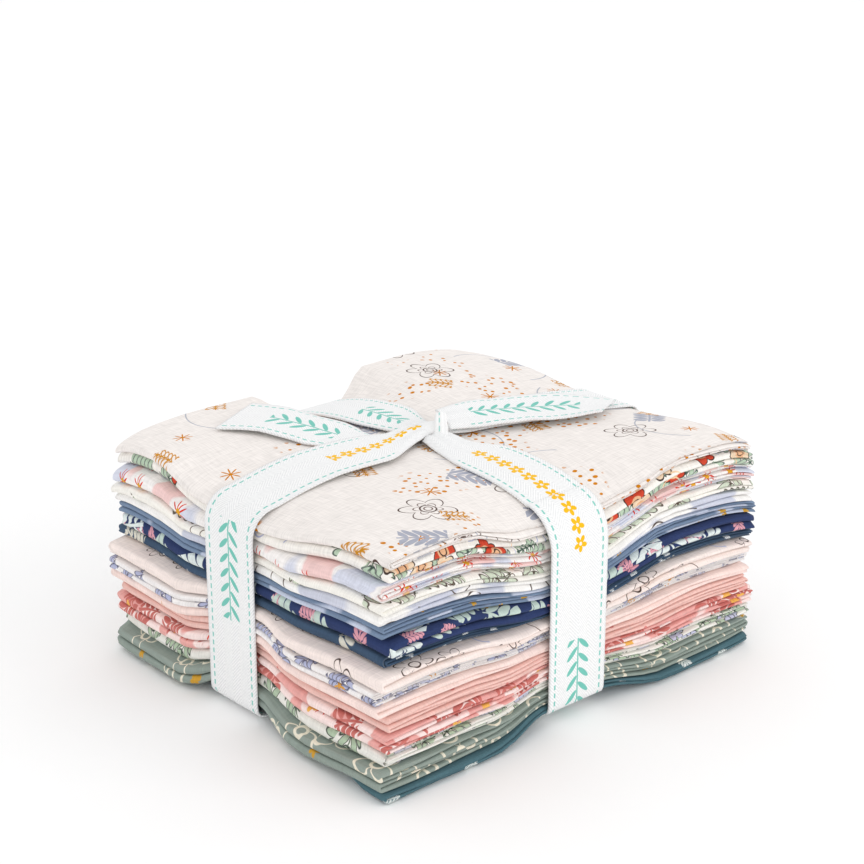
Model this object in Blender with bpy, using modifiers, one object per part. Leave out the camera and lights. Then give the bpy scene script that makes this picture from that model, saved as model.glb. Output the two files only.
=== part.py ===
"""Fat quarter bundle: sixteen folded cotton cloths, stacked and tied both ways with one flat tape.

Everything is modelled in stack coordinates (along, across, level): a flat, square stack with no tape on it.
One function, place, then squeezes that stack as the tape does, and so keeps neighbouring cloths parallel.
X is along the longer side, Y across it, and the bundle stands on Z = 0. All sizes are in metres.
"""

import math

import bmesh
import bpy
import numpy as np

MM = 0.001

# Driving sizes of the stack
STACK_LENGTH = 165.0 * MM
STACK_WIDTH = 143.6 * MM
LOBE_HEIGHT = 79.5 * MM
HALF_LENGTH = STACK_LENGTH / 2
HALF_WIDTH = STACK_WIDTH / 2
LAYER_GAP = 0.45 * MM
CLOTH_GAP = 0.75 * MM
FREE_END_INSET = 1.6 * MM
BEND_STEPS = 4

# Driving sizes of the tape
TAPE_WIDTH = 25.4 * MM
TAPE_THICKNESS = 1.0 * MM
TAPE_CLEARANCE = 0.55 * MM
TOP_BEND_RADIUS = 4.0 * MM
BOTTOM_BEND_RADIUS = 2.4 * MM
GATHERED_WIDTH = 10.0 * MM
GATHER_FROM = 9.0 * MM
GATHER_TO = 30.0 * MM

# The tape lies flat in a channel this wide, and the cloth rises beside it over the reach
CHANNEL_FLAT = 13.0 * MM
TOP_CHANNEL_REACH = 48.0 * MM
BOTTOM_CHANNEL_REACH = 34.0 * MM
FACE_CHANNEL_REACH = 36.0 * MM
TOP_CENTRE_DIP = 2.5 * MM
BOTTOM_CENTRE_RISE = 3.3 * MM
CROWN_FALL_LENGTH = 3.5 * MM
CROWN_FALL_WIDTH = 1.0 * MM
CORNER_FALL = 1.5 * MM
CORNER_INSET = 3.0 * MM
FACE_HOLD = 0.7
LONG_FACE_PRESS = 1.8 * MM
CROSS_FACE_PRESS = 1.3 * MM

# The wraps run a little askew: sideways shift for each metre along
LONG_WRAP_SKEW = -0.07
CROSS_WRAP_SKEW = 0.03

# How far the tape pulls each of the four edges in, above and below
EDGE_SQUEEZE = {
    "x_min": {"top": 5.0 * MM, "bottom": 4.2 * MM},
    "x_max": {"top": 2.4 * MM, "bottom": 3.6 * MM},
    "y_min": {"top": 12.0 * MM, "bottom": 6.5 * MM},
    "y_max": {"top": 11.0 * MM, "bottom": 6.0 * MM},
}

# Grid lines of every cloth, and of the height maps that are read between them
INNER_ALONG = np.array([-48.0, -30.0, -13.0, 13.0, 30.0, 48.0]) * MM
INNER_ACROSS = np.array([-34.0, -13.0, 13.0, 34.0]) * MM
MAP_ALONG = np.array([-90.0, *(INNER_ALONG / MM), 90.0]) * MM
MAP_ACROSS = np.array([-80.0, *(INNER_ACROSS / MM), 80.0]) * MM

# The cloths from top to bottom. share: part of the height. passes: layers of the fold.
# The four out values say how far, in mm, each edge stands proud of the mean face.
CLOTH_COLUMNS = ("name", "colour", "share", "passes", "out_x_min", "out_x_max", "out_y_min", "out_y_max")
CLOTH_ROWS = (
    ("fat_quarter_01", "cream", 12, 2, -1.2, -1.2, 0.6, 0.4),
    ("fat_quarter_02", "white", 15, 2, -1.7, 1.3, 0.0, 1.2),
    ("fat_quarter_03", "white", 17, 3, 0.2, 1.7, -1.4, -0.4),
    ("fat_quarter_04", "cream", 12, 2, 1.7, 2.2, -0.6, 1.6),
    ("fat_quarter_05", "cream", 15, 2, 1.2, 1.8, -1.0, 0.8),
    ("fat_quarter_06", "denim", 15, 3, -0.9, 4.7, -2.6, 0.2),
    ("fat_quarter_07", "navy", 17, 3, -1.3, 3.0, 1.4, -0.6),
    ("fat_quarter_08", "dark_denim", 11, 2, -1.2, 3.8, -1.8, 2.4),
    ("fat_quarter_09", "blush", 18, 3, 3.6, 1.2, 2.4, 1.0),
    ("fat_quarter_10", "white", 13, 2, 4.7, 0.5, -1.6, -0.2),
    ("fat_quarter_11", "blush", 14, 3, 3.4, 1.0, 0.4, 1.4),
    ("fat_quarter_12", "pink", 18, 3, 0.5, 0.3, 1.0, 0.6),
    ("fat_quarter_13", "coral", 25, 4, 1.4, 3.7, 0.2, 1.8),
    ("fat_quarter_14", "pale_green", 11, 2, 0.0, 1.6, -1.2, -0.8),
    ("fat_quarter_15", "sage", 22, 4, 2.7, 1.3, -0.4, 0.6),
    ("fat_quarter_16", "teal", 10, 2, -3.0, 0.5, -1.4, -1.6),
)
CLOTHS = [dict(zip(CLOTH_COLUMNS, row)) for row in CLOTH_ROWS]

# Base colours in linear light, and roughness
COLOURS = {
    "cream": (0.87, 0.80, 0.74),
    "white": (0.88, 0.86, 0.84),
    "denim": (0.13, 0.20, 0.31),
    "navy": (0.03, 0.06, 0.15),
    "dark_denim": (0.05, 0.09, 0.14),
    "blush": (0.84, 0.70, 0.66),
    "pink": (0.74, 0.49, 0.46),
    "coral": (0.66, 0.28, 0.26),
    "pale_green": (0.70, 0.70, 0.62),
    "sage": (0.27, 0.31, 0.28),
    "teal": (0.07, 0.14, 0.16),
    "tape_white": (0.90, 0.90, 0.90),
}
COTTON_ROUGHNESS = 0.9

# Centre lines of the two loose ends, in stack coordinates. turn swings the cut end from square, in degrees.
TAIL_COLUMNS = ("along", "across", "width", "turn")
LEFT_TAIL_ROWS = (
    (-9.5, 5.0, 9.0, 0.0),
    (-17.0, 8.5, 15.0, 0.0),
    (-25.0, 15.0, 22.0, 0.0),
    (-30.0, 26.0, 25.4, 0.0),
    (-34.0, 39.0, 25.4, 0.0),
    (-42.5, 54.5, 25.4, 10.0),
)
RIGHT_TAIL_ROWS = (
    (9.5, 1.0, 10.0, 0.0),
    (20.0, 3.5, 17.0, 0.0),
    (32.0, 2.5, 23.0, 0.0),
    (42.0, -1.5, 25.4, 0.0),
    (52.0, -9.0, 25.4, 0.0),
    (61.0, -18.5, 24.0, -12.0),
)
TAIL_STEPS = 14

# The knot: a low hub where the tape is gathered, with one upright band across it
KNOT_SEGMENTS = 20
KNOT_RINGS = 12
KNOT_HUB_RADIUS = 8.6 * MM
KNOT_HEIGHT = 9.0 * MM
KNOT_HUB_SHARE = 0.55
KNOT_BAND_HALF = 3.2 * MM
KNOT_TURN = math.radians(-41.0)
KNOT_SEAT = 0.35 * MM


def clear_scene():
    """Removes every object and leaves no orphan mesh behind."""
    for obj in list(bpy.data.objects):
        bpy.data.objects.remove(obj, do_unlink=True)
    for mesh in list(bpy.data.meshes):
        bpy.data.meshes.remove(mesh)


def fade(distance, flat, reach):
    """1 within flat of the line, and a smooth fall to 0 at reach."""
    part = np.clip((np.abs(distance) - flat) / (reach - flat), 0.0, 1.0)
    return 1.0 - part * part * (3.0 - 2.0 * part)


def by_side(value, low, high):
    """The low side's figure where value is negative, and the high side's elsewhere."""
    return np.where(value < 0, low, high)


def channel_depth(along, across, level, centre, reach):
    """How far the tape draws the top down, or the bottom up: two crossing channels, deeper towards the edges."""
    part_along = np.abs(along) / HALF_LENGTH
    part_across = np.abs(across) / HALF_WIDTH
    end_x = by_side(along, EDGE_SQUEEZE["x_min"][level], EDGE_SQUEEZE["x_max"][level])
    end_y = by_side(across, EDGE_SQUEEZE["y_min"][level], EDGE_SQUEEZE["y_max"][level])
    long_channel = fade(across, CHANNEL_FLAT, reach) * (centre + (end_x - centre) * part_along**2)
    cross_channel = fade(along, CHANNEL_FLAT, reach) * (centre + (end_y - centre) * part_across**3)
    return np.maximum(long_channel, cross_channel)


def top_height(along, across):
    """Height of the stack's top: a low crown, less the channels, less a little at the corners."""
    part_along = np.abs(along) / HALF_LENGTH
    part_across = np.abs(across) / HALF_WIDTH
    crown = CROWN_FALL_LENGTH * part_along**2 + CROWN_FALL_WIDTH * part_across**2
    corner = CORNER_FALL * part_along**4 * part_across**4
    channels = channel_depth(along, across, "top", TOP_CENTRE_DIP, TOP_CHANNEL_REACH)
    return LOBE_HEIGHT - crown - corner - channels


def bottom_height(along, across):
    """Height of the stack's underside: flat on four feet, and raised where the tape passes under it."""
    return channel_depth(along, across, "bottom", BOTTOM_CENTRE_RISE, BOTTOM_CHANNEL_REACH)


MAP_NODES = np.meshgrid(MAP_ALONG, MAP_ACROSS, indexing="ij")
TOP_MAP = top_height(*MAP_NODES)
BOTTOM_MAP = bottom_height(*MAP_NODES)


def read_map(height_map, along, across):
    """Reads a height map linearly between its grid lines, both ways."""
    i = np.clip(np.searchsorted(MAP_ALONG, along) - 1, 0, len(MAP_ALONG) - 2)
    j = np.clip(np.searchsorted(MAP_ACROSS, across) - 1, 0, len(MAP_ACROSS) - 2)
    u = (along - MAP_ALONG[i]) / (MAP_ALONG[i + 1] - MAP_ALONG[i])
    v = (across - MAP_ACROSS[j]) / (MAP_ACROSS[j + 1] - MAP_ACROSS[j])
    near = height_map[i, j] * (1 - u) + height_map[i + 1, j] * u
    far = height_map[i, j + 1] * (1 - u) + height_map[i + 1, j + 1] * u
    return near * (1 - v) + far * v


def place(along, across, level):
    """Stack coordinates to world coordinates. level runs from 0 at the bottom to LOBE_HEIGHT at the top."""
    low = read_map(BOTTOM_MAP, along, across)
    high = read_map(TOP_MAP, along, across)
    x = along + CROSS_WRAP_SKEW * across * fade(along, CHANNEL_FLAT, HALF_LENGTH)
    y = across + LONG_WRAP_SKEW * along * fade(across, CHANNEL_FLAT, HALF_WIDTH)
    z = low + (high - low) * level / LOBE_HEIGHT
    return np.stack([x, y, z], axis=-1)


def edge_shift(position, other, half, out_low, out_high, press, other_half):
    """How far a cloth's edge moves out: its own proud edge, held back and pressed in under the tape, less the corner."""
    reached = 1.0 - fade(position, np.abs(INNER_ALONG).max(), half)
    if half == HALF_WIDTH:
        reached = 1.0 - fade(position, np.abs(INNER_ACROSS).max(), half)
    held = fade(other, CHANNEL_FLAT, FACE_CHANNEL_REACH)
    proud = by_side(position, out_low, out_high) * (1.0 - FACE_HOLD * held)
    corner = CORNER_INSET * (np.abs(other) / other_half) ** 8
    return np.sign(position) * reached * (proud - press * held - corner)


def new_material(name, colour, roughness):
    """A Principled BSDF with one colour, named for the cloth or tape it is on."""
    material = bpy.data.materials.new(name)
    material.use_nodes = True
    shader = material.node_tree.nodes["Principled BSDF"]
    shader.inputs["Base Color"].default_value = (*colour, 1.0)
    shader.inputs["Roughness"].default_value = roughness
    shader.inputs["Metallic"].default_value = 0.0
    return material


def add_object(name, mesh, colour, collection):
    """Puts a finished mesh in the collection as its own node, shaded smooth between its creases."""
    obj = bpy.data.objects.new(name, mesh)
    collection.objects.link(obj)
    mesh.shade_smooth()
    mesh.set_sharp_from_angle(angle=math.radians(40.0))
    mesh.materials.append(new_material(name + "_cotton", COLOURS[colour], COTTON_ROUGHNESS))
    return obj


def grid_surface(name, points):
    """A grid primitive with its vertices moved to points, an array of rows by columns by 3.

    Each quad is cut along the diagonal that climbs in X and Y together, so that stacked sheets match.
    """
    rows, columns = points.shape[:2]
    surface = bmesh.new()
    bmesh.ops.create_grid(surface, x_segments=columns - 1, y_segments=rows - 1, size=1.0)
    surface.verts.ensure_lookup_table()
    for vertex, point in zip(surface.verts, points.reshape(-1, 3)):
        vertex.co = point
    for quad in list(surface.faces):
        ordered = sorted(quad.verts, key=lambda vertex: vertex.co.x + vertex.co.y)
        if ordered[-1] not in [edge.other_vert(ordered[0]) for edge in ordered[0].link_edges]:
            bmesh.utils.face_split(quad, ordered[0], ordered[-1])
    mesh = bpy.data.meshes.new(name)
    surface.to_mesh(mesh)
    surface.free()
    return mesh


def thickened(mesh, thickness, offset):
    """The surface given its thickness by Solidify, as a new closed mesh. offset is -1, 0 or 1 as in Blender."""
    guide = bpy.data.objects.new(mesh.name + "_surface", mesh)
    bpy.context.scene.collection.objects.link(guide)
    solidify = guide.modifiers.new("Thickness", "SOLIDIFY")
    solidify.thickness = thickness
    solidify.offset = offset
    solidify.use_even_offset = True
    solidify.use_quality_normals = True
    graph = bpy.context.evaluated_depsgraph_get()
    solid = bpy.data.meshes.new_from_object(guide.evaluated_get(graph))
    bpy.data.objects.remove(guide, do_unlink=True)
    bpy.data.meshes.remove(mesh)
    closed = bmesh.new()
    closed.from_mesh(solid)
    bmesh.ops.recalc_face_normals(closed, faces=closed.faces)
    closed.to_mesh(solid)
    closed.free()
    return solid


def fold_section(top, bottom, passes):
    """Centre line of a back-and-forth fold, from its top pass down, as (along, level) points.

    The first fold is at the low X face. Every pass stops at the common grid lines, and each bend is a half circle.
    """
    pitch = (top - bottom) / passes
    sheet = pitch - LAYER_GAP
    radius = pitch / 2
    bend_centre = HALF_LENGTH - radius - sheet / 2
    section = []
    for index in range(passes):
        level = top - pitch * (index + 0.5)
        heading = -1 if index % 2 == 0 else 1
        if index == 0:
            section.append((-heading * (HALF_LENGTH - FREE_END_INSET), level))
        section += [(line, level) for line in sorted(INNER_ALONG, reverse=heading < 0)]
        if index == passes - 1:
            section.append((heading * (HALF_LENGTH - FREE_END_INSET), level))
            continue
        for step in range(BEND_STEPS + 1):
            turn = math.pi * step / BEND_STEPS
            along = heading * (bend_centre + radius * math.sin(turn))
            section.append((along, level - radius + radius * math.cos(turn)))
    return np.array(section), sheet


def build_cloth(cloth, top, bottom, collection):
    """One fat quarter: its folded section drawn out across the stack, thickened, then squeezed into place."""
    section, sheet = fold_section(top, bottom, cloth["passes"])
    rows = np.array([-HALF_WIDTH, *INNER_ACROSS, HALF_WIDTH])
    points = np.empty((len(rows), len(section), 3))
    points[..., 0] = section[:, 0]
    points[..., 1] = rows[:, None]
    points[..., 2] = section[:, 1]
    mesh = thickened(grid_surface(cloth["name"], points), sheet, 0.0)
    flat = np.array([vertex.co for vertex in mesh.vertices])
    along, across, level = flat.T
    shift_x = edge_shift(
        along, across, HALF_LENGTH, cloth["out_x_min"] * MM, cloth["out_x_max"] * MM, LONG_FACE_PRESS, HALF_WIDTH
    )
    shift_y = edge_shift(
        across, along, HALF_WIDTH, cloth["out_y_min"] * MM, cloth["out_y_max"] * MM, CROSS_FACE_PRESS, HALF_LENGTH
    )
    squeezed = place(along + shift_x, across + shift_y, level)
    for vertex, point in zip(mesh.vertices, squeezed):
        vertex.co = point
    return add_object(cloth["name"], mesh, cloth["colour"], collection)


def build_stack(collection):
    """Every cloth from the top down, each in its own slot of the height, a layer gap apart."""
    spare = CLOTH_GAP - LAYER_GAP
    free_height = LOBE_HEIGHT + LAYER_GAP - spare * (len(CLOTHS) - 1)
    total = sum(cloth["share"] for cloth in CLOTHS)
    top = LOBE_HEIGHT + LAYER_GAP / 2
    for cloth in CLOTHS:
        bottom = top - free_height * cloth["share"] / total
        build_cloth(cloth, top, bottom, collection)
        top = bottom - spare


def resting_height(along, across, spread):
    """The highest cloth within spread of a point, which is where a stiff tape comes to rest."""
    heights = [
        read_map(TOP_MAP, along + step_x * spread, across + step_y * spread)
        for step_x in (-1, 0, 1)
        for step_y in (-1, 0, 1)
    ]
    return np.max(heights, axis=0)


def corner_turn(face, height, radius, outward, upward, start, stop):
    """Points of the tape's bend round an edge, as (distance from the middle, height), from one angle to another."""
    centre_run = face - radius
    centre_height = height - upward * radius
    angles = np.radians(np.linspace(start, stop, BEND_STEPS + 1))
    runs = outward * (centre_run + radius * np.cos(angles))
    heights = centre_height + upward * radius * np.sin(angles)
    return list(zip(runs, heights))


def wrap_half(side, face, stations, top_offset, under_offset, height_at, under_at):
    """One side of a wrap as (run, height) points, from the knot over the edge, down the face and under the stack."""
    points = [(side * run, height_at(side * run) + top_offset(side * run)) for run in stations]
    top_edge = side * (face - TOP_BEND_RADIUS)
    under_edge = side * (face - BOTTOM_BEND_RADIUS)
    high = height_at(top_edge) + top_offset(top_edge)
    low = under_at(under_edge) - under_offset(under_edge)
    points += corner_turn(face, high, TOP_BEND_RADIUS, side, 1, 90.0, 0.0)
    middle = np.linspace(high - TOP_BEND_RADIUS, low + BOTTOM_BEND_RADIUS, 5)[1:-1]
    points += [(side * face, height) for height in middle]
    points += corner_turn(face, low, BOTTOM_BEND_RADIUS, side, -1, 0.0, 90.0)
    under_runs = [run for run in reversed(stations) if run >= CHANNEL_FLAT]
    points += [(side * run, under_at(side * run) - under_offset(side * run)) for run in under_runs]
    return points


def wrap_widths(runs, heights):
    """Full tape width everywhere but near the knot, where the tape is gathered."""
    gather = fade(runs, GATHER_FROM, GATHER_TO) * (heights > LOBE_HEIGHT / 2)
    return TAPE_WIDTH + (GATHERED_WIDTH - TAPE_WIDTH) * gather


def build_wrap(name, face, stations, top_offset, under_offset, along_x, collection):
    """A wrap: both halves joined under the stack, as a strip that is flat across and thickened outwards."""

    def height_at(run):
        along, across = (run, 0.0) if along_x else (0.0, run)
        return resting_height(along, across, 2.0 * MM)

    def under_at(run):
        along, across = (run, 0.0) if along_x else (0.0, run)
        return read_map(BOTTOM_MAP, along, across)

    low_half = wrap_half(-1, face, stations, top_offset, under_offset, height_at, under_at)
    high_half = wrap_half(1, face, stations, top_offset, under_offset, height_at, under_at)
    path = np.array(low_half + high_half[::-1])
    runs, heights = path.T
    half_widths = wrap_widths(runs, heights) / 2
    points = np.empty((3, len(path), 3))
    for row, side in enumerate((-1, 0, 1)):
        offsets = side * half_widths
        if along_x:
            points[row] = np.stack([runs, offsets + LONG_WRAP_SKEW * runs, heights], axis=-1)
        else:
            points[row] = np.stack([-offsets + CROSS_WRAP_SKEW * runs, runs, heights], axis=-1)
    mesh = thickened(grid_surface(name, points), TAPE_THICKNESS, -1.0)
    return add_object(name, mesh, "tape_white", collection)


def build_tail(name, rows, offset, collection):
    """A loose end: a strip along its own centre line, lying on what is under it, with a slanted cut end."""
    table = dict(zip(TAIL_COLUMNS, np.array(rows).T))
    steps = np.linspace(0.0, len(rows) - 1.0, TAIL_STEPS)
    known = np.arange(len(rows))
    along = np.interp(steps, known, table["along"]) * MM
    across = np.interp(steps, known, table["across"]) * MM
    half_width = np.interp(steps, known, table["width"]) * MM / 2
    heading = np.arctan2(np.gradient(across), np.gradient(along))
    heading = np.convolve(np.pad(heading, 1, mode="edge"), np.full(3, 1 / 3), mode="valid")
    heading += np.radians(np.interp(steps, known, table["turn"]))
    points = np.empty((5, TAIL_STEPS, 3))
    for row, side in enumerate(np.linspace(-1.0, 1.0, 5)):
        p = along - np.sin(heading) * half_width * side
        q = across + np.cos(heading) * half_width * side
        points[row] = place(p, q, LOBE_HEIGHT)
        points[row, :, 2] = resting_height(p, q, 3.0 * MM) + offset
    mesh = thickened(grid_surface(name, points), TAPE_THICKNESS, 1.0)
    return add_object(name, mesh, "tape_white", collection)


def build_knot(name, collection):
    """The knot: a ball pressed to a broad flat-bottomed hub, left taller along the band, seated on the top cloth."""
    ball = bmesh.new()
    bmesh.ops.create_uvsphere(ball, u_segments=KNOT_SEGMENTS, v_segments=KNOT_RINGS, radius=1.0)
    seat = float(resting_height(0.0, 0.0, KNOT_HUB_RADIUS)) + KNOT_SEAT
    cosine, sine = math.cos(KNOT_TURN), math.sin(KNOT_TURN)
    for vertex in ball.verts:
        ring = max(math.hypot(vertex.co.x, vertex.co.y), 0.05)
        boxy = (1.0 - vertex.co.z**6) ** (1 / 3) / ring if vertex.co.z < 1.0 else 0.0
        x = vertex.co.x * boxy * KNOT_HUB_RADIUS
        y = vertex.co.y * boxy * KNOT_HUB_RADIUS
        band = math.exp(-((x / KNOT_BAND_HALF) ** 4))
        rise = KNOT_HUB_SHARE + (1.0 - KNOT_HUB_SHARE) * band
        z = (vertex.co.z + 1.0) / 2 * KNOT_HEIGHT * rise
        vertex.co = (x * cosine - y * sine, x * sine + y * cosine, seat + z)
    mesh = bpy.data.meshes.new(name)
    ball.to_mesh(mesh)
    ball.free()
    return add_object(name, mesh, "tape_white", collection)


def build_tape(collection):
    """The tape: a long wrap, a cross wrap that passes under it below the stack, a knot and two loose ends."""
    doubled = TAPE_CLEARANCE + TAPE_THICKNESS

    def over_tail(run):
        return TAPE_CLEARANCE + doubled * (run < 0) * fade(run + 27.0 * MM, 20.0 * MM, 36.0 * MM)

    def plain(run):
        return TAPE_CLEARANCE

    def under_long_wrap(run):
        return TAPE_CLEARANCE + doubled * fade(run, CHANNEL_FLAT + 1.0 * MM, 26.0 * MM)

    stations = np.array([9.5, 13.0, 20.0, 30.0, 39.0, 48.0, 60.0, 72.0]) * MM
    long_face = HALF_LENGTH
    cross_face = HALF_WIDTH + 0.2 * MM
    build_wrap("tape_long_wrap", long_face, stations, over_tail, plain, True, collection)
    cross_stations = np.array([9.5, 13.0, 23.0, 34.0, 46.0, 58.0]) * MM
    build_wrap("tape_cross_wrap", cross_face, cross_stations, plain, under_long_wrap, False, collection)
    build_knot("tape_knot", collection)
    build_tail("tape_tail_left", LEFT_TAIL_ROWS, TAPE_CLEARANCE, collection)
    build_tail("tape_tail_right", RIGHT_TAIL_ROWS, TAPE_CLEARANCE + doubled, collection)


def main():
    clear_scene()
    collection = bpy.data.collections.new("fat_quarter_bundle")
    bpy.context.scene.collection.children.link(collection)
    build_stack(collection)
    build_tape(collection)


main()
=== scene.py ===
# %% [markdown]
# # A tied bundle of folded quilting cottons
# The object is a fat quarter bundle: sixteen pieces of printed quilting cotton, each cut 457 by 559 mm,
# folded flat, stacked, and tied both ways with one white twill tape that is knotted on top. Every cloth
# is one thin sheet here, folded over and over, so that its rolled edges, its cut edges and the print
# that runs round its folds come out of the geometry and not out of a drawing. Everything below is made
# in the same coordinates.

import math

import bpy
import numpy as np
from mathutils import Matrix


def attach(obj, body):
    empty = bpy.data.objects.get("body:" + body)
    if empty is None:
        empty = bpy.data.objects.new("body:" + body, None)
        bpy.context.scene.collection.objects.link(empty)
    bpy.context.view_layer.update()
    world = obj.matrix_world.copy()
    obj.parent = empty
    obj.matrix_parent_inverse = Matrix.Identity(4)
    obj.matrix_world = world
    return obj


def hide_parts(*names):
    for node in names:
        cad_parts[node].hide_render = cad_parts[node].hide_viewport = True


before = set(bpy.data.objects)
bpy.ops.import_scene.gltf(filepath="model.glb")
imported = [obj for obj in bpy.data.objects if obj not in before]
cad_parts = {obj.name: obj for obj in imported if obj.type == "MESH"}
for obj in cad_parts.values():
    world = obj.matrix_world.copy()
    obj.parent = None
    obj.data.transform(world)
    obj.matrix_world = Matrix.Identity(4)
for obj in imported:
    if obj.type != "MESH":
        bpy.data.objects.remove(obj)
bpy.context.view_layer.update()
MM = 0.001

# %% [markdown]
# ## The squeezed stack
# On the real bundle a square stack is pulled in by the tape: it is low and pinched where the tape
# crosses it, and it swells into four soft lobes between.
# It could be sculpted by hand, but then sixteen cloths would have to be kept from cutting each other.
# Instead every point is first given in flat stack coordinates (along, across, level), and one smooth
# function moves them all. Neighbours that are parallel before the move stay parallel after it.

# %% Stack coordinates to world coordinates
HALF_LENGTH = 82.5 * MM
HALF_WIDTH = 71.8 * MM
FULL_HEIGHT = 80.2 * MM
CHANNEL_FLAT = 13.0 * MM
LONG_REACH = {"near": 54.0 * MM, "far": 44.0 * MM}
CROSS_REACH = 40.0 * MM
CROSS_REACH_AT_EDGE = {"front": 50.0 * MM, "right": 42.0 * MM, "far": 25.0 * MM}
BOTTOM_REACH = {"near": 40.0 * MM, "far": 26.0 * MM}
FACE_REACH = 36.0 * MM
LEFT_FACE_REACH = {"near": 36.0 * MM, "far": 27.0 * MM}
TOP_DIP = 2.7 * MM
SAG_DEPTH = 3.0 * MM
BOTTOM_RISE = 3.0 * MM
EDGE_FALL_LOW_X = 1.7 * MM
EDGE_FALL_HIGH_X = 4.1 * MM
CORNER_FALLS = {"front": 1.0 * MM, "left": 5.0 * MM, "right": 1.3 * MM, "back": 2.5 * MM}
LONG_SKEW = -0.07
CROSS_SKEW = 0.03
WAY_POWER = {"x_min": 6.0, "x_max": 2.0, "y_min": 5.0, "y_max": 3.0}
SQUEEZE = {
    "x_min": {"top": 10.4 * MM, "bottom": 2.2 * MM},
    "x_max": {"top": 2.6 * MM, "bottom": 3.6 * MM},
    "y_min": {"top": 12.6 * MM, "bottom": 5.2 * MM},
    "y_max": {"top": 12.4 * MM, "bottom": 5.2 * MM},
}


def fade(distance, flat, reach):
    """1 while |distance| is under flat, then the cubic 1 - 3t^2 + 2t^3 down to 0 at reach."""
    part = np.clip((np.abs(distance) - flat) / (reach - flat), 0.0, 1.0)
    return 1.0 - part * part * (3.0 - 2.0 * part)


def slope(distance, flat, reach):
    """Like fade, but over half straight, as cloth hangs: 1 - 0.55 t - 0.45 (3t^2 - 2t^3)."""
    part = np.clip((np.abs(distance) - flat) / (reach - flat), 0.0, 1.0)
    return 1.0 - 0.55 * part - 0.45 * part * part * (3.0 - 2.0 * part)


def by_side(value, low, high):
    """low where value is negative, high elsewhere."""
    return np.where(value < 0, low, high)


def channel_depth(along, across, level, centre, long_reach, cross_reach):
    """Two crossing channels that fall from the centre's depth to the edge's with a power of the way out.

    The power is high, 6 and 5, at the two faces in front: the tape runs level there and then drops.
    They join as the fourth root of the sum of their fourth powers, a maximum with no crease.
    """
    part_along = np.abs(along) / HALF_LENGTH
    part_across = np.abs(across) / HALF_WIDTH
    end_x = by_side(along, SQUEEZE["x_min"][level], SQUEEZE["x_max"][level])
    end_y = by_side(across, SQUEEZE["y_min"][level], SQUEEZE["y_max"][level])
    way_x = part_along ** by_side(along, WAY_POWER["x_min"], WAY_POWER["x_max"])
    way_y = part_across ** by_side(across, WAY_POWER["y_min"], WAY_POWER["y_max"])
    long_channel = slope(across, CHANNEL_FLAT, long_reach) * (centre + (end_x - centre) * way_x)
    cross_channel = slope(along, CHANNEL_FLAT, cross_reach) * (centre + (end_y - centre) * way_y)
    return (long_channel**4 + cross_channel**4) ** 0.25


def top_height(along, across):
    """Full height, less a fall of the sixth power at the short faces, less the corners, less the channels."""
    part_along = np.abs(along) / HALF_LENGTH
    part_across = np.abs(across) / HALF_WIDTH
    edge = by_side(along, EDGE_FALL_LOW_X, EDGE_FALL_HIGH_X) * part_along**6
    near_corners = by_side(along, CORNER_FALLS["front"], CORNER_FALLS["right"])
    far_corners = by_side(along, CORNER_FALLS["left"], CORNER_FALLS["back"])
    corner = by_side(across, near_corners, far_corners) * (part_along * part_across) ** 9
    at_near_edge = by_side(along, CROSS_REACH_AT_EDGE["front"], CROSS_REACH_AT_EDGE["right"])
    at_edge = by_side(across, at_near_edge, CROSS_REACH_AT_EDGE["far"])
    cross_reach = CROSS_REACH + (at_edge - CROSS_REACH) * part_across
    long_reach = by_side(across, LONG_REACH["near"], LONG_REACH["far"])
    channels = channel_depth(along, across, "top", TOP_DIP, long_reach, cross_reach)
    return FULL_HEIGHT - edge - corner - channels


def front_corner(across):
    """1 at the front corner of the left face, down to 0 from 64 to 38 mm off the middle."""
    return fade(np.minimum(across, 0.0) + HALF_WIDTH, 8.0 * MM, 34.0 * MM)


def bottom_height(along, across):
    """Zero on the four feet and the channels' depth where the tape passes under the stack."""
    long_reach = by_side(across, BOTTOM_REACH["near"], BOTTOM_REACH["far"])
    return channel_depth(along, across, "bottom", BOTTOM_RISE, long_reach, BOTTOM_REACH["near"])


def sag(along, across):
    """At the left face the lowest cloth ends short, and the one above it droops to the floor past its end."""
    past_the_end = 1.0 - fade(np.minimum(along, 0.0), 78.5 * MM, 84.0 * MM)
    beside_tape = 1.0 - fade(across, 8.0 * MM, 19.0 * MM)
    return SAG_DEPTH * past_the_end * beside_tape * (1.0 - front_corner(across))


def soft_drift(along, across, level):
    """Three long sine waves of 0.1 to 0.3 mm that wander through the stack, none at its bottom."""
    a, b, c = along / MM, across / MM, level / MM
    waves = 0.30 * np.sin(a / 17.0 + b / 23.0 + c / 19.0)
    waves = waves + 0.18 * np.sin(a / 9.0 - b / 14.0 + c / 13.0 + 1.3)
    waves = waves + 0.10 * np.sin(a / 5.3 + b / 6.1 - c / 16.0 + 4.0)
    return waves * MM * np.clip(c / 12.0, 0.0, 1.0)


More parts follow.
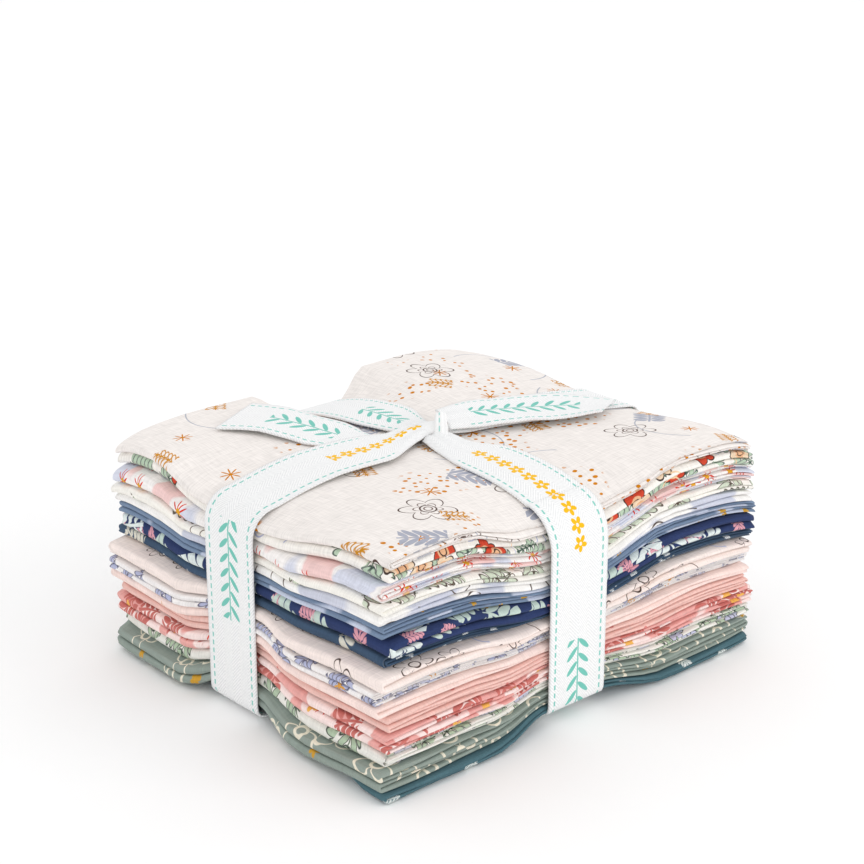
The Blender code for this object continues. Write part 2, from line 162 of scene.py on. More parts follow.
def place(along, across, level):
    """World point: skewed sideways with the tape, and level squeezed between the bottom and the top.

    With t the level's share of the full height, z is level + low (1 - t)^a - dip t^b. At the left face
    a grows from 2 to 3 and b from 1.1 to 2.6: there only the outer cloths give way to the tape.
    """
    low = bottom_height(along, across) - sag(along, across)
    dip = FULL_HEIGHT - top_height(along, across)
    share = np.clip(level / FULL_HEIGHT, 0.0, 1.0)
    at_left = np.clip(-along / HALF_LENGTH, 0.0, 1.0) ** 3
    x = along + CROSS_SKEW * across * fade(along, CHANNEL_FLAT, HALF_LENGTH)
    y = across + LONG_SKEW * along * fade(across, CHANNEL_FLAT, HALF_WIDTH)
    squeezed = low * (1.0 - share) ** (2.0 + at_left) - dip * share ** (1.1 + 1.5 * at_left)
    z = level + squeezed + soft_drift(along, across, level)
    return np.stack([x, y, z], axis=-1)


lobe_and_centre = np.array([48.0, 0.0]) * MM
print("lobe top and centre in mm:", *np.round(top_height(lobe_and_centre, lobe_and_centre) / MM, 1))

# %% [markdown]
# ## From a grid of points to a piece
# Cloth and tape are surfaces with two directions, so each is worked out as an array of points and
# turned into quads in one go. The UV map holds the real distances on the unfolded cloth, in metres:
# a print then has its true scale and runs on round every fold.
# Solidify gives the sheet its thickness. Its inner shell and its rim take their own materials, because
# the back of a printed cotton is paler than its face and a cut edge shows undyed threads.

# %% Grid helpers


def grid_mesh(name, points, lengths_u, lengths_v, flip=False):
    """Quads between neighbouring points of a rows by columns array, with (u, v) lengths as the UV map."""
    rows, columns = points.shape[:2]
    index = np.arange(rows * columns).reshape(rows, columns)
    corners = [index[:-1, :-1], index[:-1, 1:], index[1:, 1:], index[1:, :-1]]
    if flip:
        corners = corners[::-1]
    quads = np.stack(corners, axis=-1).reshape(-1, 4)
    mesh = bpy.data.meshes.new(name)
    mesh.vertices.add(rows * columns)
    mesh.vertices.foreach_set("co", points.reshape(-1).astype(np.float32))
    mesh.loops.add(quads.size)
    mesh.loops.foreach_set("vertex_index", quads.reshape(-1).astype(np.int32))
    mesh.polygons.add(len(quads))
    mesh.polygons.foreach_set("loop_start", np.arange(0, quads.size, 4, dtype=np.int32))
    mesh.update(calc_edges=True)
    u, v = np.meshgrid(lengths_u, lengths_v)
    flat = np.stack([u, v], axis=-1).reshape(-1, 2)[quads.reshape(-1)]
    mesh.uv_layers.new(name="weave").data.foreach_set("uv", flat.reshape(-1).astype(np.float32))
    mesh.shade_smooth()
    return mesh


def finish_piece(name, mesh, thickness, offset, node, materials):
    """An object on the root body, with Solidify where a thickness is given, standing for its CAD node where
    one is named.
    """
    obj = bpy.data.objects.new(name, mesh)
    bpy.context.scene.collection.objects.link(obj)
    for material in materials:
        mesh.materials.append(material)
    if thickness:
        solidify = obj.modifiers.new("Cloth thickness", "SOLIDIFY")
        solidify.thickness = thickness
        solidify.offset = offset
        solidify.use_even_offset = False
        solidify.material_offset = min(1, len(materials) - 1)
        solidify.material_offset_rim = min(2, len(materials) - 1)
    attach(obj, "root")
    if node:
        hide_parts(node)
    return obj


def running_length(*coordinates):
    """Distance from the first point to each point, summed over the straight steps between."""
    steps = np.sqrt(sum(np.diff(line) ** 2 for line in coordinates))
    return np.concatenate([[0.0], np.cumsum(steps)])


# %% [markdown]
# ## Shader maths
# A print is a picture made of masks: a petal here, a dot there. Written node by node it would be
# unreadable, so a small class wraps a socket and lets plain Python expressions add the Math nodes.
# Anything that isn't a number, such as a colour or a texture, comes through one method, node.

# %% A wire that can be added, scaled and compared


class Wire:
    """A node's output. Arithmetic on it adds Math nodes to the same material."""

    def __init__(self, dye, socket):
        self.dye = dye
        self.socket = socket

    def maths(self, operation, *others, first=None):
        """One Math node on this wire and the others, with first in front if it is given."""
        values = [self, *others] if first is None else [first, self]
        return self.dye.node("Math", {"operation": operation}, dict(enumerate(values)))

    def __add__(self, other):
        return self.maths("ADD", other)

    def __sub__(self, other):
        return self.maths("SUBTRACT", other)

    def __rsub__(self, other):
        return self.maths("SUBTRACT", first=other)

    def __mul__(self, other):
        return self.maths("MULTIPLY", other)

    def __truediv__(self, other):
        return self.maths("DIVIDE", other)

    def __abs__(self):
        return self.maths("ABSOLUTE")

    def ramp(self, limit, rise):
        """0.5 + rise (this - limit), held between 0 and 1: a soft step at the limit."""
        settings = {"operation": "MULTIPLY_ADD", "use_clamp": True}
        return self.dye.node("Math", settings, {0: self - limit, 1: rise, 2: 0.5})

    def under(self, limit, soft):
        """1 below limit and 0 above, over an edge as wide as soft."""
        return self.ramp(limit, -1.0 / soft)

    def over(self, limit, soft):
        """1 above limit and 0 below, over an edge as wide as soft."""
        return self.ramp(limit, 1.0 / soft)


class Dye:
    """A material under construction: a Principled BSDF, the cloth's own UV map, and node()."""

    def __init__(self, name, roughness, sheen=0.0):
        self.material = bpy.data.materials.new(name)
        self.material.use_nodes = True
        self.tree = self.material.node_tree
        self.shader = self.tree.nodes["Principled BSDF"]
        constants = {"Roughness": roughness, "Sheen Weight": sheen, "Specular IOR Level": 0.12}
        for key, value in constants.items():
            self.shader.inputs[key].default_value = value
        self.uv = self.node("UVMap", {"uv_map": "weave"}, {})
        self.u, self.v, _ = self.split(self.uv)

    def node(self, kind, settings, values, output=0):
        """A shader node: its settings first, then its sockets by name or number. Returns one output."""
        made = self.tree.nodes.new("ShaderNode" + kind)
        for key, value in settings.items():
            setattr(made, key, value)
        for key, value in values.items():
            if isinstance(value, Wire):
                self.tree.links.new(value.socket, made.inputs[key])
            else:
                made.inputs[key].default_value = value
        return Wire(self, made.outputs[output])

    def vector(self, operation, *values):
        """One Vector Math node."""
        return self.node("VectorMath", {"operation": operation}, dict(enumerate(values)))

    def split(self, value, kind="SeparateXYZ"):
        """The three parts of a vector or of a colour."""
        return [Wire(self, part) for part in self.node(kind, {}, {0: value}).socket.node.outputs]

    def mixed(self, low, high, amount, blend="MIX"):
        """Colour low where amount is 0 and high, or the blend of both, where it is 1."""
        settings = {"data_type": "RGBA", "blend_type": blend}
        return self.node("Mix", settings, {0: amount, 6: low, 7: high}, output=2)

    def layered(self, ground, *layers):
        """The ground's ink with each (mask, ink code) laid over it in turn."""
        colour = ink(ground)
        for mask, code in layers:
            colour = self.mixed(colour, ink(code), mask)
        return colour

    def noise(self, scale, detail, stretch=(1.0, 1.0), shift=0.0):
        """Smooth noise from 0 to 1 in cloth coordinates, scale blobs to the metre, stretched along u or v."""
        laid = self.vector("MULTIPLY_ADD", self.uv, (*stretch, 1.0), (shift, shift * 0.6, 0.0))
        values = {"Vector": laid, "Scale": scale, "Detail": detail}
        return self.node("TexNoise", {"noise_dimensions": "2D"}, values)

    def wash(self, scale, shift, limit, soft):
        """Broad patches with a soft edge: 1 where a plain noise is over limit."""
        return self.noise(scale, 0.0, shift=shift).over(limit, soft)

    def finish(self, colour, height, bump, distance):
        """Plugs the colour in, and the height through a Bump node."""
        self.tree.links.new(colour.socket, self.shader.inputs["Base Color"])
        raised = self.node("Bump", {}, {"Strength": bump, "Distance": distance, "Height": height})
        self.tree.links.new(raised.socket, self.shader.inputs["Normal"])
        return self.material


def ink(code):
    """A web colour such as f4efeb as linear red, green, blue and 1."""
    parts = [int(code[i : i + 2], 16) / 255 for i in (0, 2, 4)]
    return (*[p / 12.92 if p <= 0.04045 else ((p + 0.055) / 1.055) ** 2.4 for p in parts], 1.0)


# %% [markdown]
# ## Scattered motifs
# A quilting print repeats small motifs, turned every way, over the cloth. A Voronoi texture splits the
# cloth into cells; the distance from a cell's own centre, turned by the cell's own random angle, is a
# fresh pair of coordinates in which one motif is drawn. All the motifs are plain garden shapes drawn
# here from formulas: dots, rayed stars, five-petalled flowers and leafy sprigs.

# %% Cells and the shapes drawn in them
EDGE = 0.16 * MM
CELL_RANDOMNESS = 0.7


def distance_of(x, y):
    """The square root of x squared plus y squared."""
    return (x * x + y * y).maths("SQRT")


def petal_wave(angle, count):
    """|cos| of half of count times the angle: 1 in the middle of each petal and 0 between two."""
    return abs((angle * (count / 2)).maths("COSINE"))


class Cell:
    """Coordinates around the nearest cell centre: x, y, distance, angle and a random number, third.

    Lengths are in millimetres, for the spacing and for every motif. A share of the cells is filled.
    """

    def __init__(self, dye, spacing, seed, share=1.0):
        moved = dye.vector("ADD", dye.uv, (seed * 0.371, seed * 0.613, 0.0))
        values = {"Vector": moved, "Scale": 1.0 / (spacing * MM), "Randomness": CELL_RANDOMNESS}
        settings = {"voronoi_dimensions": "2D", "feature": "F1"}
        cells = dye.node("TexVoronoi", settings, values).socket.node.outputs
        local = dye.vector("SUBTRACT", moved, Wire(dye, cells["Position"]))
        turn, pick, self.third = dye.split(Wire(dye, cells["Color"]), "SeparateColor")
        values = {"Vector": local, "Angle": turn * math.tau}
        turned = dye.node("VectorRotate", {"rotation_type": "Z_AXIS"}, values)
        self.x, self.y, _ = dye.split(turned)
        self.distance = distance_of(self.x, self.y)
        self.angle = self.y.maths("ARCTAN2", self.x)
        self.shown = pick.under(share, 0.001)

    def disc(self, radius):
        """1 inside a circle."""
        return self.distance.under(radius * MM, EDGE) * self.shown

    def past_petals(self, radius, petals, depth):
        """Distance past a flower's outline, which is radius times (1 - depth + depth |cos|)."""
        outline = (petal_wave(self.angle, petals) * depth + (1 - depth)) * (radius * MM)
        return self.distance - outline

    def flower(self, radius, petals=5, depth=0.4):
        """1 inside the flower's outline."""
        return self.past_petals(radius, petals, depth).under(0.0, EDGE) * self.shown

    def flower_line(self, radius, petals, depth, width):
        """1 on the flower's outline and on a small ring at its heart."""
        outline = abs(self.past_petals(radius, petals, depth)).under(width * MM / 2, EDGE)
        heart = abs(self.distance - radius * MM * 0.28).under(width * MM / 2, EDGE)
        return outline.maths("MAXIMUM", heart) * self.shown

    def star(self, radius, rays=8):
        """1 in thin rays: the reach falls off with the fifth power of |cos| between them."""
        wave = petal_wave(self.angle, rays).maths("POWER", 5.0)
        return (self.distance - (wave * 0.8 + 0.2) * (radius * MM)).under(0.0, EDGE) * self.shown

    def arc(self, radius, width, opening=1.8):
        """1 on part of a circle, where the angle is under opening."""
        line = abs(self.distance - radius * MM).under(width * MM / 2, EDGE)
        return line * abs(self.angle).under(opening, 0.05) * self.shown

    def sprig(self, length, leaf, width, solid=True):
        """A stem of the given half length with pairs of slanted oval leaves on it, filled or in outline."""
        length, leaf, width = length * MM, leaf * MM, width * MM
        along, side = abs(self.x), abs(self.y)
        stem = side.under(width / 2, EDGE) * along.under(length, EDGE)
        pitch = leaf * 1.15
        local = (self.x - side * 0.75).maths("PINGPONG", pitch / 2) - pitch / 4
        oval = distance_of(local / (leaf * 0.26), (side - leaf * 0.55) / (leaf * 0.5))
        soft = EDGE / (leaf * 0.26)
        leaves = oval.under(1.0, soft) if solid else abs(oval - 1.0).under(width / leaf * 1.6, soft)
        return stem.maths("MAXIMUM", leaves * along.under(length * 0.92, EDGE)) * self.shown


# %% [markdown]
# ## The sixteen prints
# From top to bottom the cloths are cream and white with fine drawn prints, three blues, blush and
# white, pinks and corals, pale green, sage and dark teal. Each print is a ground colour with a few of
# the scattered motifs in that cloth's own inks, at the scale seen on the bundle.

# %% One function for each print


def print_cream_stars(dye):
    """Cream with drifts of amber dots, amber stars, brown drawn flowers and grey-violet sprigs."""
    dots = Cell(dye, 4, 5)
    size = (dots.third * 0.35 + 0.52) * MM
    drift = dye.noise(26.0, 1.0, shift=3.1).over(0.56, 0.03)
    big = Cell(dye, 46, 2, 0.6)
    free = 1.0 - big.distance.under(13.0 * MM, MM) * big.shown
    return dye.layered(
        "efe9e5",
        (Cell(dye, 58, 17, 0.7).arc(17, 0.5), "b3b6c0"),
        ((dots.distance - size).under(0.0, EDGE) * drift * free, "cf8000"),
        (Cell(dye, 27, 8, 0.5).star(3.6), "cc7e00"),
        (big.flower_line(9, 6, 0.45, 0.55), "54403a"),
        (big.flower_line(4.6, 6, 0.5, 0.45), "75605a"),
        (Cell(dye, 44, 13, 0.5).sprig(8, 5.4, 0.8), "a9acba"),
        (Cell(dye, 41, 19, 0.4).sprig(4.6, 3.2, 0.45, solid=False), "cb8a22"),
    )


def print_garden(dye):
    """Ivory with green leaves, red and tan flowers drawn with a dark line, and blue-violet curls."""
    flowers = Cell(dye, 17, 21, 0.7)
    leaves = Cell(dye, 14, 22, 0.7)
    return dye.layered(
        "f4f0ea",
        (Cell(dye, 14, 23, 0.55).arc(4, 0.35, 2.4), "b4b9d8"),
        (leaves.sprig(7.5, 4.4, 0.5), "b9cdb6"),
        (leaves.sprig(7.5, 4.4, 0.3, solid=False), "3f4f4a"),
        (flowers.flower(5, 5, 0.35), "ecd3b6"),
        (flowers.flower(5, 5, 0.35) * flowers.third.under(0.35, 0.01), "cf4a33"),
        (flowers.disc(2.4), "e9b78f"),
        (flowers.flower_line(5, 5, 0.35, 0.45), "43342f"),
        (Cell(dye, 19, 24, 0.4).arc(5, 0.4, 2), "f1cfa8"),
    )


def print_meadow(dye):
    """White with broad pink and lavender washes and small red and gold rayed flowers."""
    small = Cell(dye, 11, 31, 0.7)
    return dye.layered(
        "f4f0ee",
        (dye.wash(60.0, 7.7, 0.58, 0.05), "f0cdca"),
        (dye.wash(55.0, 1.9, 0.57, 0.05), "d5d8e6"),
        (small.star(3.4, 9), "d8402c"),
        (small.disc(1.1), "e0a32b"),
    )


def print_sketch(dye):
    """Ivory with pale green leaves and flowers, both drawn in brown."""
    leaves = Cell(dye, 18, 41, 0.7)
    return dye.layered(
        "f4f1ea",
        (leaves.sprig(8, 5, 0.5), "cdd6c2"),
        (leaves.sprig(8, 5, 0.3, solid=False), "4a3a33"),
        (Cell(dye, 26, 42, 0.5).flower_line(5.5, 5, 0.4, 0.32), "5a4238"),
    )


def print_mist(dye):
    """White with soft lavender-grey patches and a few brown arcs."""
    return dye.layered(
        "f4f2f0",
        (dye.wash(48.0, 4.4, 0.52, 0.05), "cdd0de"),
        (Cell(dye, 17, 51, 0.5).arc(4.4, 0.45, 2), "5b4c46"),
    )


def print_denim(dye):
    """Slate blue with small gold flowers and pale blue patches."""
    return dye.layered(
        "778aa4",
        (dye.wash(46.0, 8.3, 0.6, 0.03), "c3cbdd"),
        (Cell(dye, 11, 61, 0.35).flower(1.5), "d3a03a"),
    )


def print_navy(dye):
    """Navy with pale leaves in white and mint, small pink sprays and gold dots."""
    leaves = Cell(dye, 17, 71, 0.75)
    pale = leaves.sprig(8, 7, 0.8)
    return dye.layered(
        "2f3d66",
        (Cell(dye, 12, 72, 0.5).sprig(3.4, 2.6, 0.5), "dfa0ac"),
        (pale, "dfe8e6"),
        (pale * leaves.third.over(0.6, 0.01), "c2d3ca"),
        (Cell(dye, 15, 73, 0.3).disc(0.9), "dda83c"),
    )


def print_dark_denim(dye):
    """Dark slate blue with white specks and short strokes."""
    return dye.layered(
        "41566e",
        (Cell(dye, 7.5, 81, 0.4).sprig(1.3, 1.2, 0.4), "e4e9ea"),
        (Cell(dye, 31, 82, 0.4).sprig(6, 4.5, 0.6), "dcd9cc"),
    )


def print_blush_line(dye):
    """Blush with brown drawn flowers and arcs, and lavender touches."""
    return dye.layered(
        "f4e6e0",
        (Cell(dye, 16, 92, 0.4).arc(4, 0.8, 1.2), "c7c6dc"),
        (Cell(dye, 17, 91, 0.7).flower_line(5.6, 7, 0.5, 0.42), "4b3933"),
        (Cell(dye, 25, 93, 0.5).arc(7, 0.3), "6a5147"),
    )


def print_lavender(dye):
    """White with a close lavender print, dark drawn lines and a few gold stars."""
    leaves = Cell(dye, 13, 101, 0.7)
    return dye.layered(
        "f2eeed",
        (leaves.sprig(5.5, 3.6, 0.5), "b6bad6"),
        (leaves.sprig(5.5, 3.6, 0.28, solid=False), "5d5a70"),
        (Cell(dye, 18, 102, 0.35).star(2.6, 7), "dda04e"),
    )


def print_blush_gold(dye):
    """Plain blush with a few gold stars."""
    return dye.layered("f7e0d9", (Cell(dye, 15, 111, 0.35).star(1.7, 6), "d9962c"))


def print_pink(dye):
    """Pink with coral spots."""
    return dye.layered("eec5bc", (Cell(dye, 8, 121, 0.5).disc(1), "d98580"))


def print_coral(dye):
    """Coral with deep rose leaves, pale washes, and red and gold flowers."""
    flowers = Cell(dye, 19, 132, 0.5)
    return dye.layered(
        "eaaca6",
        (dye.wash(75.0, 5.6, 0.46, 0.03), "f9e4e0"),
        (Cell(dye, 15, 131, 0.75).sprig(5.6, 4.4, 0.7), "c9736c"),
        (flowers.star(4.4, 9), "d9412d"),
        (flowers.disc(1.5), "eab04a"),
        (Cell(dye, 17, 133, 0.35).flower(2.4), "efb75c"),
    )


def print_pale_green(dye):
    """Greenish cream with sprigs in green, violet and dark outline."""
    leaves = Cell(dye, 14, 141, 0.7)
    flowers = Cell(dye, 18, 142, 0.5)
    return dye.layered(
        "ecebe4",
        (leaves.sprig(6, 4.2, 0.5), "b4c7ad"),
        (leaves.sprig(6, 4.2, 0.28, solid=False), "3c4540"),
        (flowers.flower(4, 6, 0.45), "c6c8de"),
        (flowers.flower_line(4, 6, 0.45, 0.35), "40403f"),
    )


def print_sage(dye):
    """Sage green with cream looped ribbons and gold flowers."""
    return dye.layered(
        "939f97",
        (Cell(dye, 20, 151, 0.85).flower_line(7, 3, 0.75, 1), "ece5d2"),
        (Cell(dye, 17, 152, 0.45).flower(2, 5, 0.5), "d4a13c"),
    )


def print_teal(dye):
    """Dark teal with short white strokes."""
    return dye.layered("4f6f78", (Cell(dye, 15, 161, 0.45).sprig(2.6, 2.2, 0.5), "d8dfdc"))


# %% [markdown]
# ## Quilting cotton
# Quilting cotton is a plain weave of about 27 threads to the centimetre: too fine to see thread by
# thread from a step away, but its uneven threads show as faint streaks both ways. Two stretched noises
# at right angles give those streaks, in the colour and in the bump. The back takes less ink than the
# face, so it is the same print mixed part of the way to undyed cotton.

# %% Face, back and cut edge of each cloth
UNDYED = "efebe7"
THREAD_SCALE = 420.0
THREAD_STRETCH = (4.5, 0.35)


def cotton(name, paint, fading_back):
    """Three materials: the printed face, the back with less ink, and the cut edge."""
    made = []
    for side, fading in (("face", 0.0), ("back", fading_back), ("cut_edge", fading_back * 0.6)):
        dye = Dye(f"{name}_{side}", 0.9, sheen=0.03)
        warp = dye.noise(THREAD_SCALE, 1.0, stretch=THREAD_STRETCH)
        weft = dye.noise(THREAD_SCALE, 1.0, stretch=THREAD_STRETCH[::-1], shift=0.7)
        threads = (warp + weft) * 0.5
        colour = paint(dye)
        if fading:
            colour = dye.mixed(colour, ink(UNDYED), fading)
        tone = (threads - 0.5) * 0.46 + 1.0
        grey = dye.node("CombineColor", {}, {0: tone, 1: tone, 2: tone})
        made.append(dye.finish(dye.mixed(colour, grey, 1.0, "MULTIPLY"), threads, 0.35, 0.25 * MM))
    return made


# %% [markdown]
# ## The fold
# A shop folds a fat quarter on a board, first across and then along, and presses it. The first folding
# gives the fine rolled and cut edges on the long faces of the bundle; the second gives each cloth its
# smooth rolls on the short faces. Every cloth is drawn with eight layers here: four plies in two passes,
# or two plies in four.
# Both are the same curve, a strip that runs back and forth between two sides, so one function makes
# them. The cloth is the second curve carried along the first: its plies sit beside the centre line at
# their own distances and turn with it.

# %% The folding curve
NOSE = 0.72
FREE_INSET = 0.9 * MM
BELL_PLACE = 22.0 * MM
BELL_WIDTH = 9.0 * MM


def run_stations(start, stop, count):
    """Positions from start to stop, closest where the stack bends: at its edges and at the tape's borders.

    They are read off the running sum of a density: 1, plus a bell 22 mm either side of the middle, plus
    a rise with the eighth power towards the ends.
    """
    fine = np.linspace(-1.0, 1.0, 400) * max(abs(start), abs(stop))
    bell = np.exp(-(((np.abs(fine) - BELL_PLACE) / BELL_WIDTH) ** 2))
    density = 1.0 + 1.6 * bell + 3.0 * (np.abs(fine) / fine[-1]) ** 8
    total = np.concatenate([[0.0], np.cumsum((density[1:] + density[:-1]) / 2)])
    spread = np.interp(np.linspace(0.0, 1.0, count), total / total[-1], fine)
    spread = spread * math.copysign(1.0, stop - start)
    return start + (stop - start) * (spread - spread[0]) / (spread[-1] - spread[0])


def fold_path(order, pitch, pairing, half, extra, heading, run_points, bend_points):
    """A strip folded back and forth: runs at the heights in order, joined by half ellipses.

    With a pairing above 0 the runs lie two by two, with wider gaps between the pairs.
    position and height are the centre line; push and lift are its normal, so a ply at distance d is at
    (position + push d, height + lift d). In a bend of radius R at side s that is s NOSE (R + d) sin t
    and (R + d) cos t about the bend's middle.
    """
    places = np.array(order) + pairing * (np.array(order) // 2)
    heights = (0.5 - places / places.max()) * (len(order) - 1) * pitch
    sides = heading * (-1.0) ** np.arange(len(order))
    radii = np.abs(np.diff(heights)) / 2
    centre = {}
    for side in (-1.0, 1.0):
        here = radii[sides[:-1] == side]
        centre[side] = half - NOSE * (here.max() + extra) if len(here) else half
    position, height, push, lift = [], [], [], []
    up = 1.0
    last = len(order) - 1
    for run, side in enumerate(sides):
        start = -side * (centre[-side] if run else half - FREE_INSET)
        stop = side * (centre[side] if run < last else half - FREE_INSET)
        position.append(run_stations(start, stop, run_points))
        height.append(np.full(run_points, heights[run]))
        push.append(np.zeros(run_points))
        lift.append(np.full(run_points, up))
        if run == last:
            continue
        drop = heights[run] - heights[run + 1]
        down = math.copysign(1.0, drop)
        outward = up * down
        angle = np.linspace(0.0, np.pi, bend_points + 2)[1:-1]
        position.append(stop + side * NOSE * radii[run] * np.sin(angle))
        height.append((heights[run] + heights[run + 1]) / 2 + down * radii[run] * np.cos(angle))
        push.append(outward * side * NOSE * np.sin(angle))
        lift.append(outward * down * np.cos(angle))
        up = -up
    return [np.concatenate(part) for part in (position, height, push, lift)]


# %% [markdown]
# ## The sixteen cloths
# The table gives each cloth its share of the height, how it is folded, and how far its four edges stand
# out of the stack, as seen on the bundle. plies is the order of the first folding, with its rolled edge
# at the near long face (side -1) or the far one; passes is the order of the second.
# A small wave along each edge keeps the rolls from looking ruled.

# %% Fold and place every cloth
ROLLED = (0, 3, 2, 1)
HALVED = (0, 1)
DOUBLED = (0, 1, 2, 3)
CLOTH_GAP = 0.40 * MM
PASS_GAP = 0.14 * MM
PLY_PAIRING = 1.0
PLY_SHARE = 0.66
PLY_THICKNESS = (0.17 * MM, 0.36 * MM)
PLY_POINTS = (27, 6)
PASS_POINTS = (31, 9)
CLOTHS = (
    # number, slot, print, share, passes, plies, side, out x-, out x+, out y-, out y+
    (1, "cotton_cream", print_cream_stars, 12, HALVED, ROLLED, 1, -0.2, -0.4, 0.6, 0.4),
    (2, "cotton_white", print_garden, 16, HALVED, ROLLED, -1, -1.2, 2.0, 0.0, 1.2),
    (3, "cotton_white", print_meadow, 18, HALVED, ROLLED, 1, 1.9, 3.6, -0.8, -0.4),
    (4, "cotton_cream", print_sketch, 12, HALVED, ROLLED, -1, 2.0, 3.6, -0.4, 1.6),
    (5, "cotton_cream", print_mist, 13, HALVED, ROLLED, -1, 1.4, 3.4, -1.0, 0.8),
    (6, "cotton_denim", print_denim, 14, DOUBLED, HALVED, -1, 0.4, 6.4, -1.4, 0.2),
    (7, "cotton_navy", print_navy, 18, HALVED, ROLLED, -1, -0.2, 3.0, 1.4, -0.6),
    (8, "cotton_dark_denim", print_dark_denim, 12, HALVED, ROLLED, 1, -0.6, 5.0, -1.0, 2.4),
    (9, "cotton_blush", print_blush_line, 16, HALVED, ROLLED, -1, 4.7, 0.6, 2.2, 1.0),
    (10, "cotton_white", print_lavender, 15, DOUBLED, HALVED, 1, 5.0, 2.8, -0.6, -0.2),
    (11, "cotton_blush", print_blush_gold, 12, HALVED, ROLLED, -1, 4.2, 1.6, 0.6, 1.4),
    (12, "cotton_pink", print_pink, 17, DOUBLED, HALVED, -1, 0.4, 0.6, 0.8, 0.6),
    (13, "cotton_coral", print_coral, 22, DOUBLED, HALVED, -1, 1.6, 4.6, 0.6, 1.8),
    (14, "cotton_pale_green", print_pale_green, 15, HALVED, ROLLED, 1, 0.4, 4.0, 0.2, -0.8),
    (15, "cotton_sage", print_sage, 21, DOUBLED, HALVED, -1, 3.6, 2.8, 0.6, 0.6),
    (16, "cotton_teal", print_teal, 11, HALVED, ROLLED, -1, -6.5, 2.0, 1.8, -1.0),
)
FRONT_EXTRA = {16: 9.0}
BACK_FADING = {
    "cotton_denim": 0.2,
    "cotton_navy": 0.1,
    "cotton_dark_denim": 0.1,
    "cotton_teal": 0.08,
    "cotton_sage": 0.3,
    "cotton_pink": 0.5,
    "cotton_coral": 0.55,
}
PRESS_X = 1.8 * MM
PRESS_Y = 1.3 * MM
TOP_PRESS_Y = 2.6 * MM
HOLD = 0.7
CORNER_INSET = 0.5 * MM
FOOT_INSET = 1.3 * MM
WAVE_X = 0.45 * MM
WAVE_Y = 0.75 * MM
TWIST = 0.006
PRINT_SHIFT = 0.083


def edge_shift(position, other, half, other_half, low, high, press, inset, reach):
    """Outward move near an edge: how proud it stands, held and pressed in by the tape, less the corner."""
    near = 1.0 - fade(position, half * 0.55, half * 0.98)
    held = fade(other, CHANNEL_FLAT, reach)
    proud = by_side(position, low, high) * (1.0 - HOLD * held)
    corner = inset * (np.abs(other) / other_half) ** 8
    return np.sign(position) * near * (proud - press * held - corner)


def edge_wave(position, other, half, level, seed, size):
    """Two sine waves along an edge, a little different for each pass of each cloth, none in the middle."""
    near = 1.0 - fade(position, half * 0.6, half * 0.98)
    a, b = other / MM, level / MM
    side = np.sign(position)
    wave = 0.6 * np.sin(a / 17.0 + seed * 2.4 + b * 1.7 + side) + 0.4 * np.sin(a / 7.4 + seed * 5.1 - b * 2.6)
    return side * near * wave * size


def folded_cloth(number, top, bottom, passes, plies, side, outs):
    """Points of one folded sheet: the ply curve across the stack, carried along the pass curve."""
    pass_pitch = (top - bottom - CLOTH_GAP) / len(passes)
    ply_pitch = (pass_pitch - PASS_GAP) / len(plies)
    thickness = float(np.clip(ply_pitch * PLY_SHARE, *PLY_THICKNESS))
    reach = (len(plies) - 1) / 2 * ply_pitch + thickness / 2
    fold = (plies, ply_pitch, PLY_PAIRING, HALF_WIDTH, thickness / 2, side)
    across, offset, _, _ = fold_path(*fold, *PLY_POINTS)
    fold = (passes, pass_pitch, 0.0, HALF_LENGTH, reach, -1.0)
    centre_x, centre_z, push, lift = fold_path(*fold, *PASS_POINTS)
    lengths = (running_length(across, offset), running_length(centre_x, centre_z))
    middle = (top + bottom) / 2
    along = centre_x[:, None] + push[:, None] * offset
    level = middle + centre_z[:, None] + lift[:, None] * offset
    across = np.broadcast_to(across, along.shape)
    low_x, high_x, low_y, high_y = [value * MM for value in outs]
    low_x = low_x + FRONT_EXTRA.get(number, 0.0) * MM * front_corner(across)
    bulge = FOOT_INSET * (1.0 - middle / FULL_HEIGHT) ** 2
    inset = CORNER_INSET + bulge * (1.0 - (along < 0) * front_corner(across))
    left_reach = by_side(across, LEFT_FACE_REACH["near"], LEFT_FACE_REACH["far"])
    reach_x = by_side(along, left_reach, FACE_REACH)
    press_y = PRESS_Y + by_side(across, TOP_PRESS_Y, 0.0) * (middle / FULL_HEIGHT) ** 8
    sizes_x = (HALF_LENGTH, HALF_WIDTH, low_x + bulge, high_x + bulge, PRESS_X, inset, reach_x)
    sizes_y = (HALF_WIDTH, HALF_LENGTH, low_y + bulge, high_y + bulge, press_y, inset, FACE_REACH)
    wave_x = edge_wave(along, across, HALF_LENGTH, level * 0.2, number, WAVE_X)
    wave_y = edge_wave(across, along, HALF_WIDTH, level, number + 0.5, WAVE_Y)
    twist = TWIST * math.sin(number * 2.1)
    turned_x = along + edge_shift(along, across, *sizes_x) + wave_x - twist * across
    turned_y = across + edge_shift(across, along, *sizes_y) + wave_y + twist * along
    return place(turned_x, turned_y, level), lengths, thickness


total_share = sum(cloth[3] for cloth in CLOTHS)
top = FULL_HEIGHT
for number, slot_name, paint, share, passes, plies, side, *outs in CLOTHS:
    bottom = top - FULL_HEIGHT * share / total_share
    name = f"cloth_{number:02d}"
    points, lengths, thickness = folded_cloth(number, top, bottom, passes, plies, side, outs)
    shifted = [length + number * PRINT_SHIFT for length in lengths]
    mesh = grid_mesh(name, points, *shifted, flip=side < 0)
    materials = cotton(f"{slot_name}_{number:02d}", paint, BACK_FADING.get(slot_name, 0.4))
    cloth = finish_piece(name, mesh, thickness, 0.0, f"fat_quarter_{number:02d}", materials)
    print(name, "has", len(mesh.polygons), "quads and plies of", round(thickness / MM, 2), "mm")
    top = bottom

